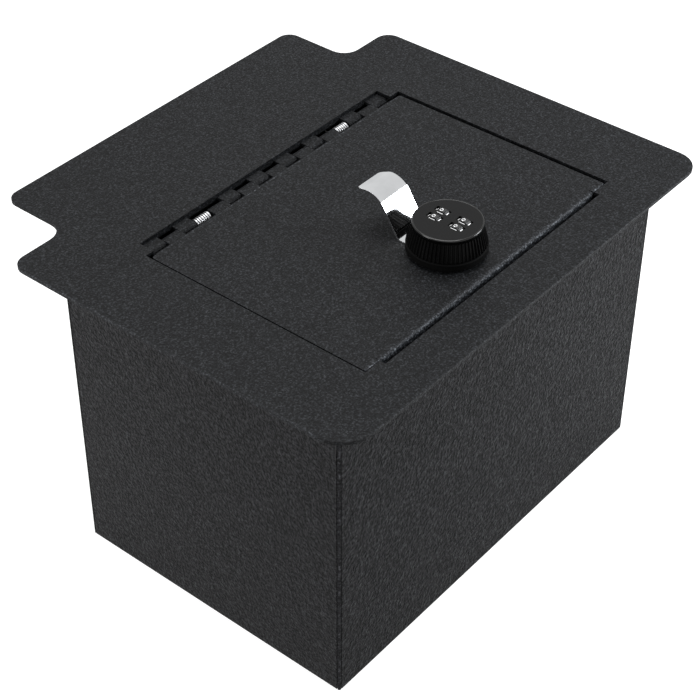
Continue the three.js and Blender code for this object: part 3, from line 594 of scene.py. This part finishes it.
def make_digits(material):
    """Ten digits on each wheel, one on each of its flats."""
    for number in WHEELS:
        low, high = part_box(f"dial_wheel_{number}")
        middle = (low + high) / 2
        flat = (high.z - middle.z) / MM
        vertices, faces = [], []
        for digit, segments in enumerate(DIGITS):
            turn = Matrix.Rotation(2 * math.pi * digit / len(DIGITS), 4, "X")
            along, across = ONE_PLACE if segments == "i" else DIGIT_PLACE
            for segment in segments:
                start, end = (((y - 1) * DIGIT_HEIGHT / 2 + along,
                               (0.5 - x) * DIGIT_WIDTH + across) for x, y in SEGMENTS[segment])
                first = len(vertices)
                corners = stroke_box(start, end, DIGIT_STROKE / 2, flat - DIGIT_SUNK,
                                     flat + DIGIT_PROUD)
                vertices += [middle + turn @ (Vector(corner) * MM) for corner in corners]
                faces += [tuple(first + i for i in face) for face in BOX_FACES]
        new_piece(f"wheel_{number}_digits", vertices, faces, material, f"wheel_{number}",
                  smooth=False)


# Knob: a rounded rim over the CAD's faceted shoulder, and a line beside each window

RIM_RADIUS = 19.62
RIM_FACE_RADIUS = 18.6
RIM_CORNER = 0.75
RIM_TAPER = 0.1
RIM_PROUD = 0.03
RIM_DROP = 2.15
# Laps are how far the section runs into the knob, inward and down
RIM_FACE_LAP = (0.4, 0.3)
RIM_SIDE_LAP = (0.6, 0.1)
RIM_SWEEP = math.radians(84)
RIM_STEPS = 8
RIM_SIDES = 144

LINE_FROM_WHEEL = 1.0
LINE_TO_FRONT = 1.9
LINE_TO_BACK = 1.7
LINE_WIDTH = 0.3
LINE_SUNK = 0.05
LINE_PROUD = 0.03


def rim_profile():
    """The rim's closed section, as radius and height from the knob's top."""
    inward, under = RIM_FACE_LAP
    side_inward, side_under = RIM_SIDE_LAP
    round_radius = RIM_RADIUS - RIM_TAPER - RIM_CORNER
    angles = [math.pi / 2 - RIM_SWEEP * i / RIM_STEPS for i in range(RIM_STEPS + 1)]
    return ([(RIM_FACE_RADIUS - inward, -under), (RIM_FACE_RADIUS, RIM_PROUD)]
            + [(round_radius + RIM_CORNER * math.cos(a),
                RIM_PROUD - RIM_CORNER + RIM_CORNER * math.sin(a)) for a in angles]
            + [(RIM_RADIUS, -RIM_DROP), (RIM_RADIUS - side_inward, -RIM_DROP - side_under)])


def make_rim(material):
    """The rim's section, turned round the knob's axis."""
    low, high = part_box("dial_knob")
    centre = Vector(((low.x + high.x) / 2, (low.y + high.y) / 2, high.z))
    profile = rim_profile()
    count = len(profile)
    vertices, faces = [], []
    for k in range(RIM_SIDES):
        angle = 2 * math.pi * k / RIM_SIDES
        vertices += [centre + Vector((r * math.cos(angle), r * math.sin(angle), z)) * MM
                     for r, z in profile]
        here, after = k * count, (k + 1) % RIM_SIDES * count
        for i in range(count):
            j = (i + 1) % count
            faces.append((here + i, here + j, after + j, after + i))
    new_piece("knob_rim", vertices, faces, material, "knob")


def make_index_lines(material):
    """A white line on the knob's face beside each window."""
    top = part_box("dial_knob")[1].z
    vertices, faces = [], []
    for number in WHEELS:
        low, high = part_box(f"dial_wheel_{number}")
        x = low.x - LINE_FROM_WHEEL * MM
        y = (low.y + high.y) / 2
        first = len(vertices)
        vertices += stroke_box((x, y - LINE_TO_FRONT * MM), (x, y + LINE_TO_BACK * MM),
                               LINE_WIDTH / 2 * MM, top - LINE_SUNK * MM, top + LINE_PROUD * MM)
        faces += [tuple(first + i for i in face) for face in BOX_FACES]
    new_piece("index_lines", vertices, faces, material, "knob", smooth=False)


make_camera()
make_world()
make_floor()
area_light("right_box", place=(0.44, -0.46, 0.44), size=(0.26, 0.26), watts=4.8,
           aim=(0, -0.1, 0.15), colour=(0.93, 0.965, 1))
area_light("left_box", place=(-0.95, 0.45, 0.75), size=(0.5, 0.6), watts=6.5)
area_light("top_box", place=(0.25, 0.3, 1.7), size=(1.0, 1.0), watts=21.3)


# Powder coats: painted shade in the hollows of the grain, painted highlights on its tops, and
# painted light and shade at some edges

# Stops of the grain's height and its colour there: dark in the hollows as painted shade, pale on
# the tops as painted highlights
plate_stops = [(0.36, (0.0015, 0.0016, 0.0018)), (0.54, (0.006, 0.0065, 0.0073)),
               (0.7, (0.03, 0.032, 0.0355))]
wall_stops = [(0.38, (0.0043, 0.0043, 0.0047)), (0.54, (0.0138, 0.0138, 0.0152)),
              (0.72, (0.044, 0.0448, 0.05))]
# The front wall's colours, darker than the other walls': painted shade
front_shaded_stops = [(0.38, (0.0031, 0.0031, 0.0032)), (0.54, (0.0108, 0.0108, 0.0121)),
               (0.7, (0.042, 0.0427, 0.0472))]

plate_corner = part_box("top_plate")[0]
lid_front, lid_rear = (corner.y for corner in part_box("lid_plate"))
weld_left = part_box("weld_front_left")[0].x

# Painted light and shade at edges runs from where it starts to where it has its full gain
# Painted highlights along the top plate's left and front edges
plate_painted_highlights = [("X", plate_corner.x + 0.9 * MM, plate_corner.x + 0.4 * MM, 2.2),
              ("Y", plate_corner.y + 0.8 * MM, plate_corner.y + 0.3 * MM, 1.6)]
# Painted highlights on the lid's front bend and along its rear edge
lid_painted_highlights = [("Y", lid_front + 2.6 * MM, lid_front + 0.8 * MM, 2.0),
            ("Y", lid_front + 1.2 * MM, lid_front + 0.2 * MM, 3.2),
            ("Y", lid_rear - 0.7 * MM, lid_rear - 0.2 * MM, 3.5)]
# A painted highlight on the near weld's bead, and a painted shade line at its left edge
weld_painted_light_and_shade = [("X", weld_left + 0.7 * MM, weld_left + 0.45 * MM, 3.4),
             ("X", weld_left + 0.25 * MM, weld_left + 0.02 * MM, 0.5)]

plate_coat = powder_coat("plate_powder_coat", grain=1.1, stops=plate_stops, depth=0.35,
                         roughness=0.5, specular=0.09, painted_edges=plate_painted_highlights)
lid_coat = powder_coat("lid_powder_coat", grain=1.1, stops=plate_stops, depth=0.35,
                       roughness=0.5, specular=0.09, painted_edges=lid_painted_highlights)
wall_coat = powder_coat("wall_powder_coat", grain=1.5, stops=wall_stops, depth=1.4,
                        roughness=0.42, specular=0.06, stretch=(1, 1, 0.8))
front_shaded_coat = powder_coat("front_powder_coat", grain=1.7, stops=front_shaded_stops, depth=3.8,
                         roughness=0.5, specular=0.06, stretch=(1, 1, 0.9))
weld_coat = powder_coat("weld_powder_coat", grain=1.4, stops=front_shaded_stops, depth=1.8,
                        roughness=0.5, specular=0.06, stretch=(1, 1, 0.85), painted_edges=weld_painted_light_and_shade)


# Metals and plastics

chrome = metal("polished_chrome", colour=(0.6, 0.61, 0.62), roughness=(0.05, 0.08),
               grain_scale=60, strength=0.005)
zinc = metal("zinc_plate", colour=(0.78, 0.79, 0.8), roughness=(0.2, 0.32), grain_scale=900)
spring_zinc = metal("spring_zinc", colour=(0.5, 0.505, 0.515), roughness=(0.28, 0.34),
                    grain_scale=300, strength=0.01)
pin_steel = metal("oiled_pin_steel", colour=(0.05, 0.05, 0.052), roughness=(0.5, 0.6),
                  grain_scale=900)
cam_steel = metal("cam_steel", colour=(0.42, 0.43, 0.44), roughness=(0.3, 0.45),
                  grain_scale=500)
knob_black = knob_nylon("knob_nylon", top=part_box("dial_knob")[1].z)
band_black = plastic("band_nylon", dark=0.0035, pale=0.0045, roughness=(0.6, 0.7),
                     grain_scale=1500, strength=0.1, specular=0.02)
rim_black = plastic("rim_nylon", dark=0.001, pale=0.002, roughness=(0.12, 0.16),
                    grain_scale=1500, strength=0.02, specular=0.36)
# Wheel grey paler than the knob's face: painted light on the flats that sit in the windows' shade
wheel_grey_painted_lit = plastic("wheel_nylon", dark=0.014, pale=0.022, roughness=(0.25, 0.35),
                      grain_scale=2500, strength=0.1, specular=0.4)
white_fill = plastic("white_fill", dark=0.88, pale=0.94, roughness=(0.4, 0.5),
                     grain_scale=2500, strength=0.1, specular=0.5)


# Finishes on the CAD nodes, softened edges and the scene's own pieces

dress(plate_coat, "top_plate", "strike_bracket", "hinge_fixed_leaf", "hinge_lid_leaf")
dress(lid_coat, "lid_plate")
dress(front_shaded_coat, "front_wall", "weld_front_right")
dress(weld_coat, "weld_front_left")
dress(wall_coat, "left_wall", "right_wall", "back_wall", "weld_back_left", "weld_back_right",
      "floor_panel")
dress(pin_steel, "hinge_pin")
dress(zinc, "lock_washer", "lock_nut", "spindle", "cam_screw", "dial_axle_front",
      "dial_axle_back")
dress(cam_steel, "lock_cam")
dress(knob_black, "dial_knob")
dress(band_black, "lock_housing")
dress(wheel_grey_painted_lit, *(f"dial_wheel_{number}" for number in WHEELS))

for plate in ("top_plate", "lid_plate"):
    bevel(plate, 0.35)
for wall in ("front_wall", "left_wall"):
    bevel(wall, 0.4)
for number in WHEELS:
    bevel(f"dial_wheel_{number}", 0.15, angle=25)

make_springs(spring_zinc)
make_tab(chrome)
make_rim(rim_black)
make_digits(white_fill)
make_index_lines(white_fill)

bpy.context.scene.view_settings.view_transform = "Standard"
